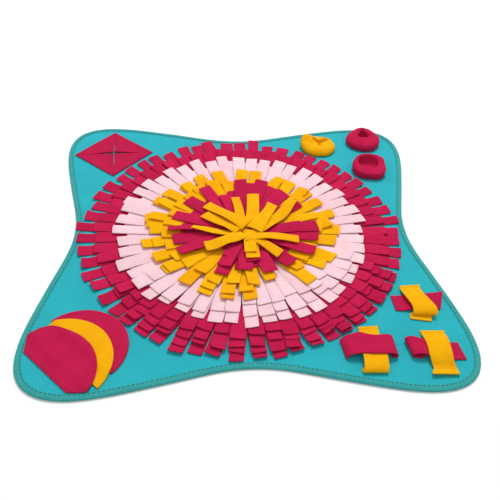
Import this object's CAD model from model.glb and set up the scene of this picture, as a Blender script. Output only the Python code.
"""Looks of the snuffle mat: every piece of cloth as a sheet of its own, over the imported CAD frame.

Sizes are written in millimetres and placed in metres. The mat lies on z = 0, front edge towards -Y.
"""

import functools
import math

import bmesh
import bpy
import numpy as np
from mathutils import Matrix, Vector


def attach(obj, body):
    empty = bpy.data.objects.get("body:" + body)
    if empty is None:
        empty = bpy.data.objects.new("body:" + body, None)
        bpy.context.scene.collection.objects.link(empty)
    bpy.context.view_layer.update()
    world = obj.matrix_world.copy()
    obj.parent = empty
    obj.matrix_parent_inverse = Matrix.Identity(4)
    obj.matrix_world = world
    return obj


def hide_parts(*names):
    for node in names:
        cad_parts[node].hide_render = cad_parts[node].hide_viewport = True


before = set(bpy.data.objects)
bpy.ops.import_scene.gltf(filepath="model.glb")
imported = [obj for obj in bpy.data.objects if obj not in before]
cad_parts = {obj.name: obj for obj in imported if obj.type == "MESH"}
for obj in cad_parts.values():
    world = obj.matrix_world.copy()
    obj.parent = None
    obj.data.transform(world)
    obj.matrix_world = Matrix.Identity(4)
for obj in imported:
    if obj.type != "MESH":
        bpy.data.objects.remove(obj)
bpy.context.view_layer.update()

MM = 0.001
SEED = 29


def named(columns, rows):
    """A table's rows as dictionaries by its columns."""
    return [dict(zip(columns, row)) for row in rows]


def full_turn(count):
    """Angles at this many even steps round a circle."""
    return np.arange(count) * 2 * math.pi / count


# ---- camera ----

CAMERA_PLACE = (-0.0702, -0.8581, 0.7549)  # in metres
CAMERA_RIGHT = (0.99737, -0.05884, 0.04235)
CAMERA_LOOK = (0.07194, 0.73173, -0.67779)
CAMERA_LENS = 45.09
SENSOR_WIDTH = 36


def make_camera():
    look = Vector(CAMERA_LOOK).normalized()
    right = Vector(CAMERA_RIGHT)
    right = (right - look * right.dot(look)).normalized()
    up = right.cross(look)
    data = bpy.data.cameras.new("camera")
    data.lens = CAMERA_LENS
    data.sensor_width = SENSOR_WIDTH
    camera = bpy.data.objects.new("camera", data)
    turn = Matrix((right, up, -look)).transposed().to_4x4()
    camera.matrix_world = Matrix.Translation(CAMERA_PLACE) @ turn
    bpy.context.scene.collection.objects.link(camera)
    bpy.context.scene.camera = camera


# ---- materials ----

MIX_DEEP, MIX_FULL, MIX_RESULT = 6, 7, 2  # a Mix node's colour sockets, whose names repeat


class Look:
    """A node material round one Principled shader. Its patterns have scales per millimetre."""

    def __init__(self, name, **sockets):
        self.material = bpy.data.materials.new(name)
        self.material.use_nodes = True
        self.tree = self.material.node_tree
        self.shader = self.tree.nodes["Principled BSDF"]
        for socket, value in sockets.items():
            self.shader.inputs[socket.replace("_", " ")].default_value = value
        self.where = self.attribute("cloth")

    def node(self, kind, links=(), values=(), **settings):
        made = self.tree.nodes.new("ShaderNode" + kind)
        for key, value in settings.items():
            setattr(made, key, value)
        for socket, value in dict(values).items():
            made.inputs[socket].default_value = value
        for socket, source in dict(links).items():
            self.tree.links.new(source, made.inputs[socket])
        return made

    def attribute(self, name, output="Vector"):
        return self.node("Attribute", attribute_name=name).outputs[output]

    def turned(self, degrees):
        values = {"Rotation": (0, 0, math.radians(degrees))}
        return self.node("Mapping", {"Vector": self.where}, values).outputs[0]

    def noise(self, scale, detail=2.0, rough=0.5, distort=0.0):
        values = {"Scale": scale, "Detail": detail, "Roughness": rough, "Distortion": distort}
        return self.node("TexNoise", {"Vector": self.where}, values).outputs["Fac"]

    def spread(self, value, low, high, to_low=0.0, to_high=1.0):
        """Spreads the values from low to high over those from to_low to to_high."""
        values = {"From Min": low, "From Max": high, "To Min": to_low, "To Max": to_high}
        return self.node("MapRange", {"Value": value}, values).outputs["Result"]

    def total(self, value, *others):
        """The value plus each of the others times its weight."""
        for other, weight in others:
            added = self.node("Math", {0: other, 2: value}, {1: weight}, operation="MULTIPLY_ADD")
            value = added.outputs[0]
        return value

    def mix(self, value, low, high, deep, colour):
        """The deep colour where the value is low, and the other where it is high."""
        made = self.node("Mix", {"Factor": self.spread(value, low, high)}, data_type="RGBA")
        made.inputs[MIX_DEEP].default_value = (*deep, 1)
        made.inputs[MIX_FULL].default_value = (*colour, 1)
        return made.outputs[MIX_RESULT]

    def finish(self, colour, height, depth, roughness):
        """Links up the surface, whose bumps have this depth in millimetres."""
        bump = self.node("Bump", {"Height": height}, {"Strength": 1.0, "Distance": depth * MM})
        link = self.tree.links.new
        link(colour, self.shader.inputs["Base Color"])
        link(roughness, self.shader.inputs["Roughness"])
        link(bump.outputs["Normal"], self.shader.inputs["Normal"])
        return self.material


def fleece(name, colour, deep, sheen):
    """Brushed cloth: a matted nap with clumps, fine fibres, and a tone for each strip."""
    look = Look(name, Specular_IOR_Level=0.1, Sheen_Weight=sheen, Sheen_Roughness=0.5)
    look.shader.inputs["Sheen Tint"].default_value = (*(min(1.5 * part, 1.0) for part in colour), 1)
    tone = look.attribute("tone", "Fac")
    patch = look.noise(scale=0.055)
    clump = look.noise(scale=0.42, detail=3, rough=0.6, distort=0.4)
    fibre = look.noise(scale=2.1, rough=0.7, distort=1.2)
    nap = look.total(fibre, (clump, 1.6), (patch, 1.5), (tone, 1.1))
    base = look.mix(nap, 1.75, 3.45, deep, colour)
    height = look.total(fibre, (clump, 1.8))
    return look.finish(base, height, depth=0.32, roughness=look.spread(clump, 0.2, 0.8, 0.82, 0.97))


def felt(name, colour, deep):
    """Needled felt: short fibres lying every way, with faint cloudy places."""
    look = Look(name, Specular_IOR_Level=0.12, Sheen_Weight=0.05, Sheen_Roughness=0.5)
    cloud = look.noise(scale=0.018, detail=3, rough=0.55)
    clump = look.noise(scale=0.3, detail=3, rough=0.6, distort=0.8)
    fibre = look.noise(scale=1.7, detail=3, rough=0.7, distort=2.5)
    nap = look.total(fibre, (clump, 1.2), (cloud, 1.6))
    base = look.mix(nap, 1.3, 2.6, deep, colour)
    height = look.total(fibre, (clump, 1.4))
    return look.finish(base, height, depth=0.22, roughness=look.spread(clump, 0.2, 0.8, 0.78, 0.92))


def tape(name, colour, deep):
    """Woven tape: a fine slanting rib, darker in its furrows."""
    look = Look(name, Specular_IOR_Level=0.12, Sheen_Weight=0.03, Sheen_Roughness=0.4)
    values = {"Scale": 0.42, "Distortion": 0.6, "Detail": 1.0, "Detail Scale": 0.6}
    rib = look.node("TexWave", {"Vector": look.turned(38)}, values).outputs["Fac"]
    yarn = look.noise(scale=1.6, rough=0.6)
    cloud = look.noise(scale=0.03)
    base = look.mix(look.total(rib, (yarn, 0.8), (cloud, 1.2)), 0.5, 2.1, deep, colour)
    height = look.total(yarn, (rib, 1.2))
    return look.finish(base, height, depth=0.18, roughness=look.spread(yarn, 0.2, 0.8, 0.6, 0.8))


def thread(name, colour, deep):
    """Sewing thread: plies that wind round it."""
    look = Look(name, Specular_IOR_Level=0.4, Sheen_Weight=0.1)
    values = {"Scale": 0.6, "Distortion": 0.3}
    ply = look.node("TexWave", {"Vector": look.turned(50)}, values).outputs["Fac"]
    base = look.mix(ply, 0, 1, deep, colour)
    return look.finish(base, ply, depth=0.12, roughness=look.spread(ply, 0, 1, 0.7, 0.5))


# Each with its colour, the deeper one between its fibres, and a fleece's sheen
LOOKS = {
    "teal": felt("felt_teal", (0.026, 0.455, 0.52), (0.018, 0.37, 0.43)),
    "binding": tape("tape_teal", (0.048, 0.41, 0.40), (0.030, 0.32, 0.31)),
    "crimson": fleece("fleece_crimson", (0.60, 0.013, 0.082), (0.42, 0.006, 0.050), 0.09),
    "pink": fleece("fleece_pink", (0.93, 0.665, 0.72), (0.84, 0.53, 0.59), 0.12),
    "yellow": fleece("fleece_yellow", (0.92, 0.50, 0.002), (0.85, 0.345, 0.001), 0.04),
    "thread_teal": thread("thread_teal", (0.008, 0.12, 0.15), (0.005, 0.07, 0.09)),
    "thread_crimson": thread("thread_crimson", (0.42, 0.01, 0.06), (0.26, 0.005, 0.03)),
    "thread_yellow": thread("thread_yellow", (0.86, 0.42, 0.004), (0.72, 0.30, 0.003)),
}

# ---- cloth meshes ----

EDGE = 0.75  # rounding of a cut edge
EDGE_POINTS = 4
EDGE_CORNER = 0.3  # of the rounding, from both sides to its corners
# Rows that round off an open sheet's ends: how far in and how much smaller, in roundings
END_ROWS = ((0.0, 0.92), (0.3, 0.3), (1.0, 0.0))
# The pattern's third coordinate over an edge and on the low face, from 0 on the top
EDGE_DEPTHS = (2.5, 5.0, 7.5, 10.0)
LOW_DEPTH = 15
SHEET_SHIFT = np.array([97, 53, 31])  # how far a shift of 1 moves a sheet's pattern
SPACE_SHIFT = 53  # and a seamless one's
PLAIN = 0.5  # the middle tone
RING = 12  # values of a ring, every 30 degrees from +X
CURVE_STEPS = 16  # from each point of a curve to the next


def unit(vectors):
    return vectors / np.maximum(np.linalg.norm(vectors, axis=-1, keepdims=True), 1e-9)


def running(steps):
    """The steps summed up from 0."""
    return np.concatenate([[0], np.cumsum(steps)])


def run_along(path):
    """Length of the path up to each of its points."""
    return running(np.linalg.norm(np.diff(path, axis=0), axis=1))


def read_off(at, run, table):
    """The table's rows at some places of the run."""
    return np.stack([np.interp(at, run, column) for column in table.T], 1)


def smooth(values, rounds):
    """The values, averaged with their neighbours in some rounds."""
    values = np.array(values, float)
    for _ in range(rounds):
        padded = np.concatenate([values[:1], values, values[-1:]])
        values = 0.25 * padded[:-2] + 0.5 * padded[1:-1] + 0.25 * padded[2:]
    return values


def between(before, start, end, after, share):
    """The place at this share from start to end, on a smooth curve through all four."""
    square = 2 * before - 5 * start + 4 * end - after
    cube = 3 * start - before - 3 * end + after
    return 0.5 * (2 * start + (end - before) * share + square * share**2 + cube * share**3)


def curve(points, count):
    """Points at even steps along a smooth curve through the given ones."""
    points = np.asarray(points, float)
    padded = np.concatenate([2 * points[:1] - points[1:2], points, 2 * points[-1:] - points[-2:-1]])
    fine = []
    for four in zip(padded, padded[1:], padded[2:], padded[3:]):
        fine += [between(*four, share) for share in np.linspace(0, 1, CURVE_STEPS, endpoint=False)]
    fine = np.array(fine + [points[-1]])
    run = run_along(fine[:, :3])
    return read_off(np.linspace(0, run[-1], count), run, fine)


def around(values, count):
    """The RING values as a smooth closed curve of count values."""
    values = np.broadcast_to(np.asarray(values, float), (RING,))
    at = np.arange(count) * RING / count
    number = at.astype(int)
    four = [values[(number + step) % RING] for step in (-1, 0, 1, 2)]
    return between(*four, at - number)


def ring_quads(count, low, high):
    """Quads between two rings of count points, whose first points are low and high."""
    here = np.arange(count)
    after = (here + 1) % count
    return np.stack([low + here, low + after, high + after, high + here], 1)


@functools.cache
def face_table(rows, columns, closed):
    """Quads over the loops of edge_loop(), with caps on both ends of an open sheet."""
    count = 2 * (columns + EDGE_POINTS)
    quads = []
    for row in range(rows if closed else rows - 1):
        quads.append(ring_quads(count, row * count, (row + 1) % rows * count))
    if not closed:
        top = np.arange(-2, columns + 2) % count  # with the upper half of each edge
        low = np.arange(count - 3, columns + 1, -1)  # with the lower halves
        for base in (0, (rows - 1) * count):
            quads.append(base + np.stack([top[:-1], low[:-1], low[1:], top[1:]], 1))
    return np.concatenate(quads)


def edge_loop(middle, out, high, thick, edge, smaller):
    """Points round one section of a sheet: top face, far edge, low face and near edge.

    Out and high are the directions across and up at the middle's points.
    """
    half = thick / 2 - smaller * edge
    small = edge * (1 - smaller)
    corner = small * EDGE_CORNER
    flat = middle.copy()
    edges = []
    for end, outward in ((-1, out[-1]), (0, -out[0])):
        tip = middle[end] - outward * smaller * edge
        flat[end] = tip - outward * small
        edges.append((
            tip - outward * corner + high[end] * (half - corner),
            tip + high[end] * (half - small),
            tip - high[end] * (half - small),
            tip - outward * corner - high[end] * (half - corner),
        ))
    far, near = edges
    return np.concatenate([flat + high * half, far, (flat - high * half)[::-1], near[::-1]])


def sheet_area(grid, closed):
    """Area of the grid in square metres. If it is closed, its last row meets its first."""
    rows = np.concatenate([grid, grid[:1]]) if closed else grid
    one = rows[1:, 1:] - rows[:-1, :-1]
    two = rows[1:, :-1] - rows[:-1, 1:]
    return 0.5 * np.linalg.norm(np.cross(one, two), axis=-1).sum() * MM * MM


class Shape:
    """Gathers sheets of cloth, in millimetres, into one mesh."""

    def __init__(self):
        self.points, self.faces, self.tones, self.cloth = [], [], [], []
        self.size = 0
        self.area = 0.0  # of one side of the sheets, in square metres

    def add(self, points, faces, tone, cloth):
        """Adds points, arrays of faces, a tone, and the points' places on the cloth."""
        for some in faces:
            self.faces += (some + self.size).tolist()
        self.points.append(points)
        self.tones.append(np.full(len(points), tone))
        self.cloth.append(cloth)
        self.size += len(points)

    def shell(self, grid, thick, closed=False, seamless=False, tone=PLAIN, shift=0.0, edge=EDGE):
        """A sheet whose middle surface is the grid (rows, columns, 3), with all its cut edges rounded.

        A closed one's last row meets its first. A seamless one's pattern runs through space.
        """
        grid = np.asarray(grid, float)
        along = np.roll(grid, -1, 0) - np.roll(grid, 1, 0) if closed else np.gradient(grid, axis=0)
        along, across = unit(along), unit(np.gradient(grid, axis=1))
        up = unit(np.cross(along, across))
        run = running(np.linalg.norm(np.diff(grid, axis=0), axis=-1).mean(1))
        side = running(np.linalg.norm(np.diff(grid, axis=1), axis=-1).mean(0))
        sides = np.concatenate([side, [side[-1]] * EDGE_POINTS, side[::-1], [0] * EDGE_POINTS])
        low = np.full(len(side), LOW_DEPTH)
        depths = np.concatenate([np.zeros(len(side)), EDGE_DEPTHS, low, EDGE_DEPTHS[::-1]])
        rows = [(number, 0.0, 0.0) for number in range(len(grid))]
        if not closed:
            rows[:1] = [(0, inside, smaller) for inside, smaller in END_ROWS]
            rows[-1:] = [(len(grid) - 1, -inside, smaller) for inside, smaller in END_ROWS[::-1]]
        loops, cloth = [], []
        for number, moved, smaller in rows:
            middle = grid[number] + along[number] * moved * edge
            loops.append(edge_loop(middle, across[number], up[number], thick, edge, smaller))
            flat = np.stack([np.full(len(sides), run[number]), sides, depths], 1)
            cloth.append(loops[-1] + shift * SPACE_SHIFT if seamless else flat + shift * SHEET_SHIFT)
        faces = [face_table(len(rows), grid.shape[1], closed)]
        self.add(np.concatenate(loops), faces, tone, np.concatenate(cloth))
        self.area += sheet_area(grid, closed)

    def build(self, name, slot, look, *nodes):
        """Makes the object, which stands for the CAD nodes that are named."""
        mesh = bpy.data.meshes.new(name)
        points = np.concatenate(self.points)
        mesh.from_pydata((points * MM).tolist(), [], self.faces)
        bm = bmesh.new()
        bm.from_mesh(mesh)
        bmesh.ops.recalc_face_normals(bm, faces=bm.faces)
        bm.to_mesh(mesh)
        bm.free()
        mesh.attributes.new("tone", "FLOAT", "POINT").data.foreach_set("value", np.concatenate(self.tones))
        cloth = mesh.attributes.new("cloth", "FLOAT_VECTOR", "POINT")
        cloth.data.foreach_set("vector", np.concatenate(self.cloth).ravel())
        mesh.shade_smooth()
        mesh.materials.append(LOOKS[look])
        made = bpy.data.objects.new(name, mesh)
        bpy.context.scene.collection.objects.link(made)
        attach(made, "root")
        if nodes:
            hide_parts(*nodes)
        return made

    def build_row(self, row):
        """The object for a row of a table, in place of the CAD node of that name."""
        return self.build(row["name"] + "_cloth", row["look"], row["look"], row["name"])


# ---- outline and panel ----

MEAN_RADIUS = 367.8
RIPPLES = (-0.2093, 0.0395, -0.0115, 0.0029)  # of the radius: 4, 8, 12 and 16 of them round the mat
ROUND = 720  # stations round the mat
BUNCHING = 0.06  # of the stations in the corners
PANEL_TOP = 3.1
PANEL_BOTTOM = 0.15
PANEL_ROUND = 360
PANEL_INSET = 8.5  # up to which it has its full thickness
RIM_INSET = 2.0
RIM_HEIGHTS = (1.0, 2.2)
FLEECE = 2.3


def outline(inset, count=ROUND):
    """Plan points of the mat's outline, drawn in by the inset."""
    turn = full_turn(count)
    turn = turn + BUNCHING * np.sin(4 * turn)

    def edge_points(angles):
        ripples = sum(size * np.cos(4 * (number + 1) * angles) for number, size in enumerate(RIPPLES))
        radius = MEAN_RADIUS * (1 + ripples)
        return np.stack([radius * np.cos(angles), radius * np.sin(angles)], 1)

    nudge = 0.001
    along = unit(edge_points(turn + nudge) - edge_points(turn - nudge))
    inward = np.stack([-along[:, 1], along[:, 0]], 1)
    return edge_points(turn) + inward * inset


def wave(x, y):
    """Gentle unevenness of the panel."""
    return (
        0.22 * np.sin(x / 41 + 0.7) * np.sin(y / 53 - 1.1)
        + 0.16 * np.sin((x + y) / 27 + 2.0)
        + 0.12 * np.sin((x - 1.7 * y) / 19)
    )


def pucker(count=ROUND):
    """Height of the tape's gathers round the mat, strongest in the corners."""
    turn = full_turn(count)
    uneven = np.sin(61 * turn + 2.3 * np.sin(5 * turn)) * np.sin(23 * turn + 1.0) + 0.5 * np.sin(97 * turn)
    corner = 0.35 + 0.65 * np.sin(2 * turn) ** 6
    return 0.32 * uneven * corner


def ring_stack(shape, rings):
    """Skins rings of points, and closes the first and last with a point in the middle."""
    rings = np.asarray(rings)
    number, count = rings.shape[:2]
    faces = [ring_quads(count, low * count, (low + 1) * count) for low in range(number - 1)]
    here = np.arange(count)
    after = (here + 1) % count
    for ring, middle in ((0, number * count), (number - 1, number * count + 1)):
        faces.append(np.stack([ring * count + here, ring * count + after, np.full(count, middle)], 1))
    points = np.concatenate([rings.reshape(-1, 3), [rings[0].mean(0)], [rings[-1].mean(0)]])
    shape.add(points, faces, PLAIN, points)


def make_panel():
    """The felt, gathered a little by the binding and thinned inside it."""
    shares = np.concatenate([np.linspace(0.03, 0.9, 40), np.linspace(0.915, 1.0, 10)])
    body = outline(PANEL_INSET, PANEL_ROUND)
    rim = outline(RIM_INSET, PANEL_ROUND)
    gathers = pucker(PANEL_ROUND)

    def ring(share, low):
        x, y = (body * share).T
        height = wave(x, y) + gathers * np.clip((share - 0.93) / 0.07, 0, 1)
        z = PANEL_BOTTOM + 0.4 * np.maximum(height, 0) if low else PANEL_TOP + height
        return np.column_stack([x, y, z])

    rings = [ring(share, True) for share in shares]
    rings += [np.column_stack([rim, np.full(PANEL_ROUND, height)]) for height in RIM_HEIGHTS]
    rings += [ring(share, False) for share in shares[::-1]]
    shape = Shape()
    ring_stack(shape, rings)
    shape.area = 0.5 * abs(np.cross(rim, np.roll(rim, -1, 0)).sum()) * MM * MM
    return shape


# The tape's section, from its edge below the mat to that on top, as insets and heights
TAPE_SECTION = (
    (10, 0), (5, 0), (1.6, 0.1), (0.45, 0.6), (0, 1.7), (0.3, 2.8),
    (1.3, 3.5), (3.5, 3.85), (6.5, 3.85), (8.6, 3.6), (10, 3.55),
)
TAPE = 0.7
TAPE_EDGE = 0.3
TAPE_FIRM = 2.5  # up to this height it has no waves or gathers


def make_binding():
    """Tape folded over the rim, with the small gathers of its seam."""
    rows = []
    for inset, height in TAPE_SECTION:
        x, y = outline(inset).T
        share = min(max(height - TAPE_FIRM, 0), 1)
        z = height + share * (pucker() + wave(x, y))
        rows.append(np.column_stack([x, y, np.maximum(z, TAPE / 2)]))
    shape = Shape()
    shape.shell(np.stack(rows, 1), TAPE, closed=True, edge=TAPE_EDGE)
    return shape


SEAM_INSET = 4.0
UP = np.array([0.0, 0.0, 1.0])
THREAD_SIDES = 6
# A stitch's rings from end to end: heights and radii, in radii of the thread
STITCH = ((-1.1, 0.45), (0.35, 0.95), (0.6, 1.0), (0.35, 0.95), (-1.1, 0.45))
STITCH_END = np.array([[0, 1, 2, 3], [0, 3, 4, 5]])


def stitch_row(shape, path, pitch=4.4, length=3.0, radius=0.38):
    """Stitches along a path (n, 3): short threads whose ends sink into the cloth."""
    run = run_along(path)
    count = max(int(run[-1] / pitch), 1)
    heights, girths = radius * np.array(STITCH).T
    turns = full_turn(THREAD_SIDES)[:, None]
    last = THREAD_SIDES * (len(STITCH) - 1)
    faces = [ring_quads(THREAD_SIDES, low, low + THREAD_SIDES) for low in range(0, last, THREAD_SIDES)]
    faces += [STITCH_END, last + STITCH_END]
    for number in range(count):
        at = (number + 0.5) * run[-1] / count + np.linspace(-0.5, 0.5, len(STITCH)) * length
        line = read_off(at, run, path) + UP * heights[:, None]
        along = unit(np.gradient(line, axis=0))
        side = unit(np.cross(along, UP))
        high = np.cross(side, along)
        rings = np.cos(turns) * side[:, None] + np.sin(turns) * high[:, None]
        points = (line[:, None] + girths[:, None, None] * rings).reshape(-1, 3)
        shape.add(points, faces, PLAIN, points)


BINDING_SEAM = (8.4, 3.85)  # its inset and height


def binding_stitches():
    inset, height = BINDING_SEAM
    count = 2 * ROUND
    x, y = outline(inset, count).T
    path = np.column_stack([x, y, height + wave(x, y) + pucker(count)])
    shape = Shape()
    stitch_row(shape, np.concatenate([path, path[:1]]), pitch=6.8, length=4.7, radius=0.55)
    return shape


# ---- fringe ----

CELL = 1.5
PILE_HALF = 340


class Pile:
    """Height of everything laid so far, on a square grid."""

    def __init__(self):
        count = int(2 * PILE_HALF / CELL) + 1
        axis = np.linspace(-PILE_HALF, PILE_HALF, count)
        x, y = np.meshgrid(axis, axis, indexing="ij")
        self.height = PANEL_TOP + wave(x, y)
        self.settled = self.height.copy()

    def settle(self):
        """Starts a new layer, which rests on what lies there now, not on its own strips."""
        self.settled = self.height.copy()

    def cell(self, flat):
        where = np.rint((flat + PILE_HALF) / CELL).astype(int)
        where = np.clip(where, 0, len(self.height) - 1)
        return where[..., 0], where[..., 1]

    def below(self, flat, loose):
        """Height under plan points. A loose strip also lies on its neighbours."""
        return (self.height if loose else self.settled)[self.cell(flat)]

    def cover(self, flat, top):
        np.maximum.at(self.height, self.cell(flat), top)


STRIP = 1.7  # thickness of a fringe strip
CLEAR = 0.25  # between a strip and what it lies on
STATIONS = 12  # along a strip
ACROSS = np.linspace(-0.5, 0.5, 5)  # points across it, as shares of its width
MAX_SLOPE = 0.35
TAKEN_SLOPE = 0.7  # of the slope below it
STIFF = 0.008  # per mm: how sharply a strip bends down
CURLED = np.array([0.15, 0.5, 1.0])  # of the curl, at the last stations
SLANT = 0.14  # greatest slope of the tip's cut
SLANT_LENGTH = 14  # of the strip takes part in it
CORNER_CUT = (0.1, 1.1)
HOLLOW = 0.25  # how deep it is hollowed and arched by turns
HOLLOW_LENGTH = 17
TONES = (0.1, 0.9)
SHIFTS = (0, 9)


def lay_strip(pile, shape, route, width, rng, course, roll=0.0, curl=0.0, loose=True, cup=0.0):
    """Lays a strip along the plan route (n, 2), and adds it to the pile and to the shape.

    The course is the lowest and highest heights of its underside: it is pressed down to the highest where
    others lie on it. The roll is its own slope to the side, the curl lifts its tip, and the cup its sides.
    """
    lowest, highest = course
    along = unit(np.gradient(route, axis=0))
    side = np.stack([-along[:, 1], along[:, 0]], 1)
    width = np.broadcast_to(width, len(route))
    offsets = ACROSS * width[:, None]
    foot = route[:, None] + offsets[..., None] * side[:, None]
    below = pile.below(foot, loose)
    slope = (below * offsets).sum(1) / (offsets**2).sum(1)
    slope = smooth(np.clip(slope, -MAX_SLOPE, MAX_SLOPE), 2) * TAKEN_SLOPE + roll
    need = (below - slope[:, None] * offsets).max(1) + CLEAR
    need = np.minimum(need, highest)
    run = run_along(route)
    base = (need - STIFF * (run[:, None] - run) ** 2).max(1)
    base = np.maximum(base, lowest)
    base = np.maximum(smooth(base, 2), need)
    base[-len(CURLED):] += curl * CURLED
    tail = np.clip(1 - (run[-1] - run) / SLANT_LENGTH, 0, 1)
    foot += along[:, None] * (rng.uniform(-SLANT, SLANT) * offsets * tail[:, None])[..., None]
    foot[-1, [0, -1]] -= along[-1] * rng.uniform(*CORNER_CUT, 2)[:, None]
    grid = np.concatenate([foot, (base[:, None] + slope[:, None] * offsets)[..., None] + STRIP / 2], 2)
    hollow = np.broadcast_to(cup, len(route)) - HOLLOW * np.sin(run / HOLLOW_LENGTH + rng.uniform(0, 6))
    grid[:, :, 2] += hollow[:, None] * ((2 * ACROSS) ** 2 - 0.5)
    shape.shell(grid, STRIP, tone=rng.uniform(*TONES), shift=rng.uniform(*SHIFTS))

    # Its top on the pile, at steps of a millimetre
    fine = np.linspace(0, len(route) - 1, int(run[-1]) + 2)
    index = np.arange(len(route))
    wide = np.linspace(-0.5, 0.5, int(width.max()) + 2)
    reach = np.interp(fine, index, width)[:, None]
    centre = read_off(fine, index, route)[:, None]
    flat = centre + (wide * reach)[..., None] * read_off(fine, index, side)[:, None]
    tilted = np.interp(fine, index, slope)[:, None] * wide * reach
    pile.cover(flat, np.interp(fine, index, base)[:, None] + tilted + STRIP)


# Bands from the outside in. A layer is the radius where its strips are sewn, that of their tips, their
# number, and the sine of the direction from which on, towards the rear, they are staggered. The course is the
# height of the lowest layer's underside at some radii, and each next layer lies one step higher. From the
# radius seen_from on, a strip may ride above its course by the play. Its tip curls up by the curl at most.
NEVER = 2  # a sine that no direction has
LAYER_STEP = 1.9
SLACK = 0.7  # how far the hidden part of a strip may ride above its course
BANDS = named(("name", "look", "width", "curl", "seen_from", "play", "layers", "course"), (
    ("crimson_outer", "crimson", 25, 4.5, 252, 2.2,
     ((226, 295, 57, NEVER), (220, 280, 57, NEVER)), ((220, 3.4), (293, 3.4))),
    ("crimson_middle", "crimson", 25.5, 2, 232, 2.4,
     ((177, 266, 57, 0.1),), ((172, 3.4), (240, 5.4), (273, 5.4))),
    ("crimson_inner", "crimson", 25.5, 1.5, 210, 2.8,
     ((180, 251, 57, NEVER),), ((176, 3.4), (222, 6.5), (247, 8))),
    ("pink_outer", "pink", 24.2, 1.5, 186, 6,
     ((92, 213, 48, -0.6), (86, 230, 48, NEVER)), ((86, 4), (190, 6), (232, 8.5))),
    ("pink_inner", "pink", 25, 1, 150, 4,
     ((128, 210, 48, NEVER), (104, 188, 48, NEVER)), ((104, 4), (180, 8), (211, 11))),
    ("yellow", "yellow", 24.5, 1.5, 100, 6,
     ((104, 178, 28, NEVER), (96, 171, 28, NEVER), (24, 146, 29, NEVER)),
     ((24, 4), (100, 8.5), (140, 11), (178, 12.5))),
))
# Layers without strips in some directions, in degrees
BARE = named(("band", "layer", "first", "last"), (
    ("pink_outer", 0, -140, -28), ("crimson_outer", 1, -24, 224), ("crimson_inner", 0, -22, 214),
    ("pink_inner", 0, -16, 216), ("pink_inner", 1, -40, 266), ("yellow", 0, -80, -52),
    ("yellow", 1, -80, -24), ("yellow", 2, -74, -58), ("inner_under", 1, 12, 44),
    ("inner_under", 1, -141, -119), ("inner_under", 1, 112, 122),
))
# How far tips may come in the corners, so many degrees to each side of their middles
CORNERS = named(("middle", "spread", "limit"), (
    (225, 9, 290.5), (-45, 30, 283),
    (45, 22, 288), (135, 22, 300),
))
LIMIT_RISE = 0.9  # for each degree beside a corner
FURTHEST = 320
ODD_SHARE = 0.12  # of the strips lie across their neighbours
LEAN_PLAY = (0.3, 2.4)  # of even and of odd strips, in shares of the free room
ROLL_PLAY = (0.015, 0.06)
PITCH_PLAY = 0.012
ROOT_PLAY = 2
TIP_PLAY = (-9.5, 4.5)
WIDTH_PLAY = (0.86, 1.04)
CURL_PLAY = (0.1, 1)
FILLED = 0.985  # of the pitch, at most
STAGGER_SPAN = 0.5  # of the sine, until the strips are fully staggered
SWAY = 0.03  # in pitches, in layers of more strips than the next value
SWAY_COUNT = 30
LEFT_REACH = 3  # further for tips on the left, less on the right


def ring_route(angle, root, tip, swing):
    """A plan route that leaves the root at the angle and leans by the swing."""
    share = np.linspace(0, 1, STATIONS)
    radius = root + (tip - root) * share
    turned = angle + swing * share**1.2
    return np.stack([radius * np.cos(turned), radius * np.sin(turned)], 1)


def course_of(row, route, layer=0):
    """Lowest and highest heights of a strip's underside along its route."""
    radii, heights = zip(*row["course"])
    away = np.linalg.norm(route, axis=1)
    lowest = smooth(np.interp(away, radii, heights), 3) + LAYER_STEP * layer
    return lowest, lowest + np.where(away < row["seen_from"], SLACK, row["play"])


def corner_limit(angle):
    """Furthest a tip may reach at this angle."""
    reach = FURTHEST
    for corner in CORNERS:
        away = abs((math.degrees(angle) - corner["middle"] + 180) % 360 - 180)
        reach = min(reach, corner["limit"] + LIMIT_RISE * max(away - corner["spread"], 0))
    return reach


def bare(band, layer, angle):
    """Whether the layer has no strip at this angle."""
    rows = [row for row in BARE if row["band"] == band and row["layer"] == layer]
    return any((math.degrees(angle) - row["first"]) % 360 < row["last"] - row["first"] for row in rows)


def stagger(angles, first):
    """Part of a pitch by which strips lie beside their columns."""
    share = np.clip((np.sin(angles) - first) / STAGGER_SPAN, 0, 1)
    return 0.5 * share**2 * (3 - 2 * share)


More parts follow.
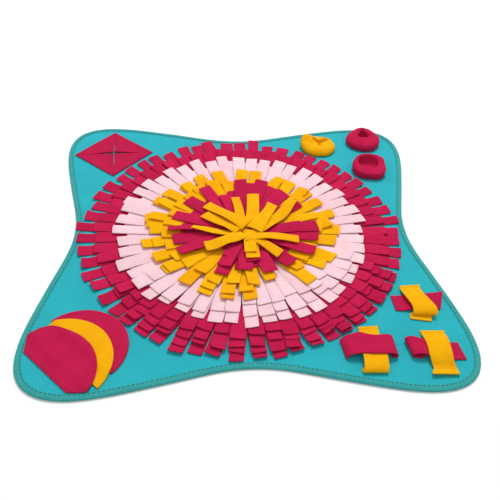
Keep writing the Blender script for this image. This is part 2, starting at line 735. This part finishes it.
def lay_layer(pile, shape, row, number, angles, leans, rng):
    """One layer of a band, whose strips leave at the angles and lean by these shares of the free room."""
    root, tip, count, staggered_from = row["layers"][number]
    pitch = 2 * math.pi / count
    free = max(pitch - row["width"] / tip, 0) / 2
    offset = stagger(angles, staggered_from)
    if count > SWAY_COUNT:
        offset += SWAY * np.sin(2 * angles + root)
    placed = angles + offset * pitch
    spread = (np.roll(placed, -1) - placed) % (2 * math.pi)
    spread = FILLED * np.minimum(spread, np.roll(spread, 1))
    odd = rng.uniform(size=count) < ODD_SHARE
    pile.settle()
    for strip in np.argsort(odd, kind="stable"):
        if bare(row["name"], number, angles[strip]):
            continue
        loose = bool(odd[strip])
        angle = placed[strip] + rng.uniform(-PITCH_PLAY, PITCH_PLAY) * pitch
        lean = (0.0 if loose else leans[strip]) + rng.uniform(-LEAN_PLAY[loose], LEAN_PLAY[loose])
        swing = lean * free
        end = tip + rng.uniform(*TIP_PLAY) - LEFT_REACH * math.cos(angle)
        end = min(end, corner_limit(angle + swing))
        route = ring_route(angle, root + rng.uniform(-ROOT_PLAY, ROOT_PLAY), end, swing)
        room = np.linalg.norm(route, axis=1) * spread[strip]
        width = np.minimum(row["width"] * rng.uniform(*WIDTH_PLAY), room)
        roll = rng.normal(0, ROLL_PLAY[loose])
        course = course_of(row, route, number)
        curl = row["curl"] * rng.uniform(*CURL_PLAY)
        lay_strip(pile, shape, route, width, rng, course, roll, curl, loose)


def lay_band(pile, row, leans, rng):
    """Layers with the same number of strips lie finger on finger, so that their gaps line up."""
    shape = Shape()
    for number, (_, _, count, _) in enumerate(row["layers"]):
        if count not in leans:
            leans[count] = rng.uniform(-1.0, 1.0, count)
        lay_layer(pile, shape, row, number, full_turn(count), leans[count], rng)
    return shape.build("strips_" + row["name"], row["look"], row["look"], "fringe_" + row["name"])


# Tips of the inner crimson strips, as they are laid
INNER_TIPS = named(("x", "y", "width", "roll"), (
    (21, 127, 22, 0), (0, 137, 23, 0.05), (63, 113, 22, 0.1), (43, 132, 24, 0),
    (84, 99, 24, 0.1), (108, 64, 19, 0.35), (133, -29, 25, 0), (135, -4, 25, 0.05),
    (121, -68, 24, -0.1), (79, -98, 22, 0.1), (-2, -115, 24, 0), (41, -117, 25, 0.15),
    (12, -95, 24, 0.1), (-44, -122, 23, 0), (-39, -106, 24, 0.1), (-29, -84, 25, 0),
    (-126, -35, 26, 0), (-116, -67, 24, 0.2), (-136, -7, 17, 0.35), (-126, 33, 24, 0),
    (-102, 78, 24, -0.1), (-71, 114, 24, 0.05), (-31, 91, 24, 0.1),
))
INNER_ROOT = 30  # round a point off the middle
INNER_SHIFT = (0, -8)
INNER_SPARE = 1.5  # added to the widths
INNER_TAPER = (8, 0.34)  # greatest width at the middle, and its gain per mm
INNER = {"width": 24.0, "course": ((30, 9), (84, 15), (112, 18), (136, 19)), "seen_from": 45, "play": 6}
INNER_UNDER = {
    "name": "inner_under",
    "curl": 1,
    "layers": ((4, 72, 9, NEVER), (36, 108, 26, NEVER)),
    "course": ((4, 9), (40, 10), (84, 12), (136, 15)),
    "seen_from": 0,
    "play": 3,
}
# Flower strips as they are laid, from the tip over a middle point to the heart
FLOWER_PLACES = ("tip_x", "tip_y", "mid_x", "mid_y", "end_x", "end_y")
FLOWER = named((*FLOWER_PLACES, "width", "end_width", "end_z", "drop", "roll"), (
    (97, 69, 66, 22, 10, -32, 19, 20, 24, 0, 0.08),
    (-12, 80, -7, 45, -2, -22, 16, 24, 24, 0, 0),
    (-92, -7, -58, -17, 12, -38, 17, 22, 25, 0, 0.3),
    (12, -90, 11, -66, 9, -20, 24, 22, 25.5, 0, 0),
    (8, -77, 8, -60, 8, -30, 21, 20, 27.5, 0, 0),
    (60, -78, 38, -59, 4, -36, 20, 18, 27, 0, -0.06),
    (96, -41, 56, -36, 0, -42, 21, 20, 28.5, 0, -0.1),
    (-70, -59, -42, -51, -2, -34, 20, 22, 28, 0, 0.05),
    (22, 87, 20, 50, 14, -10, 23, 24, 28, 0, 0),
    (57, 54, 40, 20, 17, -21, 20, 32, 30.5, 2, 0.1),
    (-71, 30, -44, 6, -7, -21, 21, 31, 30, 2, 0),
    (-67, 57, -32, 22, 6, -11, 21, 35, 33.5, 4, 0),
))
FLOWER_STATIONS = 17
FLOWER_BED = 21.5  # lowest height of the tips
FLOWER_PLAY = (3.5, 3.0)  # at the tip, and how much less at the end
FLOWER_ARCH = 1.2


def lay_inner(pile, rng):
    """The crimson ring round the flower: two layers, and over them strips placed by their tips."""
    shape = Shape()
    under = {**INNER, **INNER_UNDER}
    for number, (_, _, count, _) in enumerate(under["layers"]):
        lay_layer(pile, shape, under, number, number + full_turn(count), np.zeros(count), rng)
    pile.settle()
    for row in INNER_TIPS:
        tip = np.array([row["x"], row["y"]], float)
        start = tip / np.linalg.norm(tip) * INNER_ROOT + INNER_SHIFT
        share = np.linspace(0, 1, STATIONS)[:, None]
        route = start * (1 - share) + tip * share
        least, gain = INNER_TAPER
        width = np.minimum(row["width"] + INNER_SPARE, least + np.linalg.norm(route, axis=1) * gain)
        course = course_of(INNER, route)
        lay_strip(pile, shape, route, width, rng, course, row["roll"], rng.uniform(0, 1.5))
    return shape.build("strips_centre_crimson", "crimson", "crimson", "fringe_centre_crimson")


def lay_flower(pile, rng):
    """The bundle of long strips at the heart, arched where they end."""
    shape = Shape()
    for row in FLOWER:
        route = curve([(row[key + "_x"], row[key + "_y"]) for key in ("end", "mid", "tip")], FLOWER_STATIONS)
        share = np.linspace(0, 1, len(route))
        near = (1 - share) ** 2
        width = row["width"] + (row["end_width"] - row["width"]) * near
        rise = (row["end_z"] - FLOWER_BED) * np.cos(share * math.pi / 2)
        lowest = FLOWER_BED + rise - row["drop"] * near**8
        play, less = FLOWER_PLAY
        course = (lowest, lowest + play - less * near)
        arch = -FLOWER_ARCH * near
        lay_strip(pile, shape, route, width, rng, course, row["roll"], rng.uniform(0, 1.0), cup=arch)
    return shape.build("strips_flower", "yellow", "yellow", "fringe_flower")


# ---- corners ----

SEWN_GAP = 0.4  # between the felt and what is sewn on it
STITCH_RISE = 0.1  # of stitches above the cloth


def on_panel(x, y):
    """Height at which things lie on the felt."""
    return PANEL_TOP + SEWN_GAP + wave(x, y)


DIAMOND_SIDE = 112
DIAMOND_PLACE = np.array([-257.0, 252.0])
DIAMOND_TURN = math.radians(49)
SLIT_SHARE = 0.6  # of each half diagonal is slit
QUARTER_LIFTS = (4.0, 3.2, 0.4, 1.4)  # of the points at the slits' crossing
SLIT_GAPS = (3.6, 1.7)  # of the slit from left to right, and from front to back
LEAF_GAP = 0.05  # past the slit
LEAF_START = 0.035  # of the way out from the crossing
LEAF_TIP = 0.2  # half the leaf's least width


def diamond(seam):
    """Four three-cornered leaves of one square, slit crosswise."""
    half = DIAMOND_SIDE / 2
    shape = Shape()
    for quarter, lift in enumerate(QUARTER_LIFTS):
        turn = DIAMOND_TURN + quarter * math.pi / 2
        out = np.array([math.cos(turn), math.sin(turn)])
        side = np.array([-out[1], out[0]])

        def place(aside, share):
            """A point at this share of the way out, and from -1 to 1 aside."""
            slit = max(1 - share / SLIT_SHARE, 0)
            lengthwise = (aside < 0) != (quarter % 2 == 0)
            gap = LEAF_GAP + SLIT_GAPS[lengthwise] * slit**0.7
            flat = out * half * share + side * aside * max(half * share - gap, LEAF_TIP)
            x, y = flat + DIAMOND_PLACE
            ripple = 0.25 * math.sin(share * 6 + quarter) * share
            raised = lift * slit**1.6 * (1 - 0.35 * abs(aside)) + ripple
            return x, y, on_panel(x, y) + FLEECE / 2 + max(raised, 0)

        shares = np.linspace(LEAF_START, 1, 22)
        rows = [[place(aside, share) for share in shares] for aside in np.linspace(-1, 1, 25)]
        shape.shell(rows, FLEECE, tone=0.2, shift=0.2 * quarter)
        line = np.linspace(-1, 1, 20)[:, None] * side + out
        x, y = (line * (half - SEAM_INSET) + DIAMOND_PLACE).T
        stitch_row(seam, np.column_stack([x, y, on_panel(x, y) + FLEECE + STITCH_RISE]))
    return shape


# Half-round flaps: reach is the distance of the straight edge from the middle, and square how much of it is
# left to each side of its middle, the rest being cut off. The short is what the edge is cut back by, the
# left how far the flap reaches to its left, and the bulge swells the arc there.
FLAPS = named(("name", "look", "radius", "reach", "square", "short", "left", "bulge"), (
    ("flap_back", "crimson", 72, 363.5, 72, 0, 72, 0),
    ("flap_middle", "yellow", 78, 400.5, 78, 7.5, 66.5, 0),
    ("flap_front", "crimson", 75, 427, 51.7, 0, 75, 8),
))
FLAP_STEP = 3  # by which a flap climbs onto the one below
FLAP_RAMP = 12  # over this way


def flap(row, number, seam):
    """A flap that climbs over those before it, sewn along its straight edge."""
    edges = [below["reach"] for below in FLAPS[:number]]
    out = np.array([-math.sqrt(0.5), -math.sqrt(0.5)])
    side = np.array([-out[1], out[0]])
    radius, square = row["radius"], row["square"]
    widest = (square + math.sqrt(2 * radius**2 - square**2)) / 2 if square < radius else radius
    last = math.asin(widest / radius) - 0.05

    def place(turn, share=None):
        """A point at this share of the way from the straight edge to the arc, or on the seam."""
        swollen = radius + row["bulge"] * math.exp(-(((turn + 0.9) / 0.3) ** 2))
        aside = swollen * math.sin(turn)
        depth = swollen * math.cos(turn)
        first = max(abs(aside) - square, row["short"])
        share = min(SEAM_INSET / (depth - first), 1) if share is None else share
        x, y = flat = out * (row["reach"] - first - (depth - first) * share) + side * aside
        climb = sum(min(max((edge + FLAP_RAMP - flat @ out) / FLAP_RAMP, 0), 1) for edge in edges)
        free = (share * depth / radius) ** 3
        lifted = free * (1.3 + 0.8 * math.sin(turn * 3 + number * 2) + 0.3 * math.sin(turn * 7))
        return x, y, on_panel(x, y) + FLEECE / 2 + FLAP_STEP * climb + lifted

    turns = np.linspace(-min(last, math.asin(row["left"] / radius)), last, 61)
    rows = [[place(turn, share) for share in np.linspace(0, 1, 17)] for turn in turns]
    shape = Shape()
    shape.shell(rows, FLEECE, shift=number)
    stitch_row(seam, np.array([place(turn) for turn in turns[2:-2]]) + UP * (FLEECE / 2 + STITCH_RISE))
    return shape


# A cup is a pouch of cloth, given by rings from its foot over the wall down into the mouth. Each ring has
# its middle, off the cup's own, and its radii and heights in RING directions.
RING_COLUMNS = ("x", "y", "radii", "heights")
YELLOW_RINGS = (
    (0, 0, (33, 32, 31, 30, 31, 32, 33, 34, 33, 32, 35, 35), 4.8),
    (0, 0, (36, 35, 33, 31, 33, 36, 36, 35, 33, 32, 35, 36), (9, 9, 10, 10, 12, 13, 12, 10, 9, 9, 9, 9)),
    (0, 0, (33, 32, 29, 27, 31, 36, 35, 31, 28, 27, 30, 33), (14, 14, 14, 14, 17, 22, 18, 15, 14, 14, 14, 14)),
    (0, 1, (25, 29, 23, 20, 24, 31, 27, 22, 19, 19, 22, 24), (17, 17, 17, 16, 19, 27, 20, 17, 17, 17, 17, 17)),
    (3, 4, (12, 25, 13, 6, 9, 19, 10, 6, 9, 13, 8, 7), (15, 16, 17, 17, 19, 22, 18, 16, 16, 13.5, 16, 16)),
    (3, 4, (10, 19, 11, 7, 9, 15, 10, 7, 9, 11, 8, 8), 10),
    (3, 4, 0.5, 5.8),
)
REAR_RINGS = (
    (0, 0, (31, 31, 31, 30, 30, 31, 31, 33, 33, 34, 35, 33), 4.8),
    (0, 0, (35, 34, 32, 31, 32, 34, 36, 36, 34, 34, 35, 35), 10),
    (0, 0, (35, 33, 31, 30, 31, 33, 35, 33, 30, 29, 30, 33), 16),
    (0, 3, (26, 25, 23, 22, 23, 25, 27, 27, 24, 22, 24, 26), (22, 23, 24, 24, 24, 23, 22, 20, 19, 19, 19, 20)),
    (0, 5, (18, 18, 18, 19, 18, 17, 18, 19, 16, 14, 16, 19), (25, 26, 27, 27, 27, 26, 25, 23, 21, 21, 21, 23)),
    (0, 6, (11, 9, 10, 14, 10, 9, 11, 15, 12, 10, 12, 15), (24, 25, 26, 26, 26, 25, 24, 22, 20, 20, 20, 22)),
    (0, 6, (10, 9, 9, 10, 9, 9, 10, 11, 10, 9, 10, 11), 13),
    (0, 6, 0.5, 6),
)
FRONT_RINGS = (
    (0, 0, (31, 31, 30, 30, 30, 30, 30, 33, 32, 31, 36, 34), 4.8),
    (0, 0, (32, 34, 32, 32, 32, 32, 32, 33, 32, 32, 37, 35), 10),
    (0, 0, (33, 36, 33, 32, 32, 32, 32, 32, 31, 31, 35, 36), 16),
    (0, 1, (32, 36, 31, 30, 30, 30, 29, 28, 27, 26, 30, 33), (21, 22, 22, 22, 22, 22, 20, 19, 18, 18, 19, 20)),
    (0, 4, (28, 30, 27, 26, 26, 26, 25, 24, 22, 21, 24, 27), (23, 24, 25, 25, 25, 24, 22, 20, 20, 20, 20, 21)),
    (0, 5, (22, 23, 23, 22, 22, 22, 22, 21, 19, 19, 20, 21), (21, 22, 23, 23, 23, 22, 20, 19, 18, 18, 18, 19)),
    (0, 5, (20, 21, 21, 20, 20, 20, 20, 19, 18, 18, 19, 19), 13),
    (0, 5, 14, 7),
    (0, 5, 0.5, 5.6),
)
CUPS = named(("name", "look", "x", "y", "rings"), (
    ("cup_yellow", "yellow", 175, 276, YELLOW_RINGS),
    ("cup_crimson_rear", "crimson", 277, 296, REAR_RINGS),
    ("cup_crimson_front", "crimson", 269, 193, FRONT_RINGS),
))
CUP_STATIONS = 96
CUP_ROWS = 30


def cup(row):
    """One skin over all the rings, with faint creases."""
    angles = full_turn(CUP_STATIONS)
    loops = []
    for ring in named(RING_COLUMNS, row["rings"]):
        radii, heights = around(ring["radii"], CUP_STATIONS), around(ring["heights"], CUP_STATIONS)
        x = row["x"] + ring["x"] + radii * np.cos(angles)
        y = row["y"] + ring["y"] + radii * np.sin(angles)
        loops.append(np.column_stack([x, y, heights]))
    grid = np.array([curve(line, CUP_ROWS) for line in np.stack(loops, 1)])
    grid[..., 2] += 0.25 * np.sin(grid[..., 0] / 5.3 + 1) * np.sin(grid[..., 1] / 6.1 + grid[..., 2] / 4)
    shape = Shape()
    shape.shell(grid, FLEECE, closed=True, seamless=True, shift=row["x"] / 50)
    return shape


# Straps, from end to end: turn is the direction across the strap, from +X, and tilt its rise, both in degrees
STRAPS = named(("name", "look", "rows"), (
    ("strap_rear_under", "crimson", (
     (237, -179, 4.6, 33, 93, 0), (249, -180, 5, 33, 92, 0), (264, -180, 7, 33, 91, 0),
     (280, -180, 8, 33, 91, 0), (296, -179, 7.6, 33, 88, 4), (308, -179, 7.2, 34, 82, 10),
     (318, -178, 7.6, 36, 72, 14))),
    ("strap_rear_over", "yellow", (
     (274.5, -140, 4.6, 35, 3, 0), (273, -149, 5.6, 35, 3, 0), (272.5, -158, 9.8, 35, 2, -2),
     (273.5, -168, 13.2, 35, 1, -2), (278, -182, 14.4, 36, -3, 1), (282, -194, 15, 38, -8, 3),
     (283, -203, 13.8, 39, -9, 3), (282, -208.5, 10.6, 39, -7, 2), (280, -208, 7.4, 38, -4, 1),
     (278, -204, 5.6, 36, -4, 0), (276, -209, 4.6, 35, -8, 0), (274, -217, 4.6, 34, -10, 0))),
    ("strap_left_under", "yellow", (
     (185, -228, 4.6, 32, 2, 0), (184.5, -240, 5, 32, 1, 0), (183.5, -254, 7.2, 34, 0, 0),
     (183, -268, 9, 36, 0, 0), (183, -281, 11.6, 37, 0, 0), (183, -292, 13.4, 37, 0, 0),
     (182, -303, 13.8, 37, -1, 0), (181, -312, 12, 37, -2, 0), (180, -317, 8.4, 37, -2, 0),
     (179, -315.5, 5.2, 37, -2, 0), (179, -308, 4.6, 36, -2, 0))),
    ("strap_left_over", "crimson", (
     (138, -272, 4.6, 37, 97, 0), (140, -272, 8, 37, 96, 0), (145, -271, 12.6, 37, 95, 0),
     (154, -270, 15.2, 38, 93, 2), (165, -269, 16.8, 38, 92, 5), (178, -271, 16.2, 37, 90, 0),
     (191, -272, 15.6, 36, 90, -2), (204, -272, 16.2, 36, 91, 1), (212, -272, 15, 36, 92, 2),
     (216.5, -272, 11.6, 36, 93, 2), (218, -272, 7.8, 36, 93, 0), (216, -272, 5, 36, 93, 0),
     (210, -272, 4.6, 35, 93, 0))),
    ("strap_right_under", "crimson", (
     (322, -280, 4.6, 33, 98, 0), (309, -280, 5, 33, 98, 0), (296, -280, 6.6, 33, 98, 0),
     (280, -279, 8.6, 33, 98, 0), (267, -277, 11, 33, 99, 0), (257, -275, 13.6, 33, 100, 0),
     (248, -274, 14.4, 34, 100, 2), (242, -274, 12.6, 34, 100, 2), (239.5, -274, 8.8, 34, 99, 0),
     (242, -274, 5.4, 34, 98, 0), (249, -275, 4.8, 34, 98, 0), (256, -276, 6, 33, 98, 0),
     (258.5, -276, 8.6, 32, 98, 0))),
    ("strap_right_over", "yellow", (
     (285.5, -239, 4.6, 39, -1, 0), (285, -247, 6, 38, -1, 0), (284.5, -257, 11, 38, -1, 0),
     (284, -268, 14.2, 37, -1, 0), (283.5, -280, 15, 36, -1, 0), (283, -291, 14.2, 36, -1, 0),
     (283.5, -300, 10.8, 35, -1, 0), (285, -307, 6.6, 35, -1, 0), (286, -312, 5, 36, -1, -2),
     (284.5, -318, 5.8, 40, -1, -2), (283, -324.5, 8.6, 42, -1, -3))),
))
STRAP_STATIONS = 64
STRAP_ACROSS = np.linspace(-0.5, 0.5, 9)
STRAP_SEAM = 3  # stations from the end
STRAP_PRESSED = 0.2  # into the gap below it, at most


def ribbon(rows, seam):
    """A strap through the rows, with stitches across it where its ends are low."""
    line = curve(rows, STRAP_STATIONS)
    z, width, turn, tilt = line.T[2:]
    turn, tilt = np.radians(turn), np.radians(tilt)
    side = np.column_stack([np.cos(turn) * np.cos(tilt), np.sin(turn) * np.cos(tilt), np.sin(tilt)])
    grid = line[:, None, :3] + (width[:, None] * STRAP_ACROSS)[..., None] * side[:, None]
    lowest = on_panel(grid[..., 0], grid[..., 1]) + FLEECE / 2 - STRAP_PRESSED
    grid[..., 2] = np.maximum(grid[..., 2] + wave(grid[..., 0], grid[..., 1]), lowest)
    shape = Shape()
    shape.shell(grid, FLEECE, shift=rows[0][0] / 50)
    near = STRAP_STATIONS // 5
    for number in (STRAP_SEAM, STRAP_STATIONS - near + int(np.argmin(z[-near:-STRAP_SEAM]))):
        stitch_row(seam, grid[number] + UP * (FLEECE / 2 + STITCH_RISE))
    return shape


# ---- light and floor ----

FLOOR_DROP = 0.0004  # in metres, as the lamps' places and sizes are
WORLD_STRENGTH = 0.56
LAMPS = named(("place", "size", "power"), (
    ((0.75, 2.5, 3.8), 1.3, 136),
    ((-1.2, -2.4, 3.6), 3.2, 24),
))


def make_stage():
    """A pale floor, a white world, and soft lamps that point at the middle."""
    bpy.ops.mesh.primitive_plane_add(size=12, location=(0, 0, -FLOOR_DROP))
    floor = bpy.context.object
    floor.name = "floor"
    look = Look("floor_white", Roughness=0.9, Specular_IOR_Level=0.1)
    look.shader.inputs["Base Color"].default_value = (0.93, 0.93, 0.93, 1)
    floor.data.materials.append(look.material)
    world = bpy.data.worlds.new("studio")
    world.use_nodes = True
    background = world.node_tree.nodes["Background"].inputs
    background["Color"].default_value = (1, 1, 1, 1)
    background["Strength"].default_value = WORLD_STRENGTH
    bpy.context.scene.world = world
    for row in LAMPS:
        data = bpy.data.lights.new("softbox", "AREA")
        data.shape = "DISK"
        data.size = row["size"]
        data.energy = row["power"]
        lamp = bpy.data.objects.new("softbox", data)
        lamp.location = row["place"]
        lamp.rotation_euler = (-Vector(row["place"])).to_track_quat("-Z", "Y").to_euler()
        bpy.context.scene.collection.objects.link(lamp)
    bpy.context.scene.view_settings.view_transform = "Standard"


def main():
    rng = np.random.default_rng(SEED)
    make_camera()
    make_stage()
    base = make_panel()
    panel = base.build("felt_panel", "teal", "teal", "panel")
    on_base = [make_binding().build("edge_binding", "binding", "binding", "binding")]
    on_base.append(binding_stitches().build("edge_stitches", "binding", "thread_teal"))
    pile = Pile()
    leans = {}
    on_base += [lay_band(pile, row, leans, rng) for row in BANDS]
    on_base += [lay_inner(pile, rng), lay_flower(pile, rng)]
    seams = {look: Shape() for look in ("crimson", "yellow")}
    leaves = diamond(seams["crimson"])
    made = leaves.build("diamond_patch", "crimson", "crimson", "pocket_diamond")
    below = []
    for number, row in enumerate(FLAPS):
        cloth = flap(row, number, seams[row["look"]])
        made = cloth.build_row(row)
        below.append(made)
    for row in CUPS:
        cloth = cup(row)
        made = cloth.build_row(row)
    below = []
    for row in STRAPS:
        cloth = ribbon(row["rows"], seams[row["look"]])
        made = cloth.build_row(row)
        below = [made] if "under" in row["name"] else []
    on_base += [seam.build("seams_" + look, look, "thread_" + look) for look, seam in seams.items()]


main()
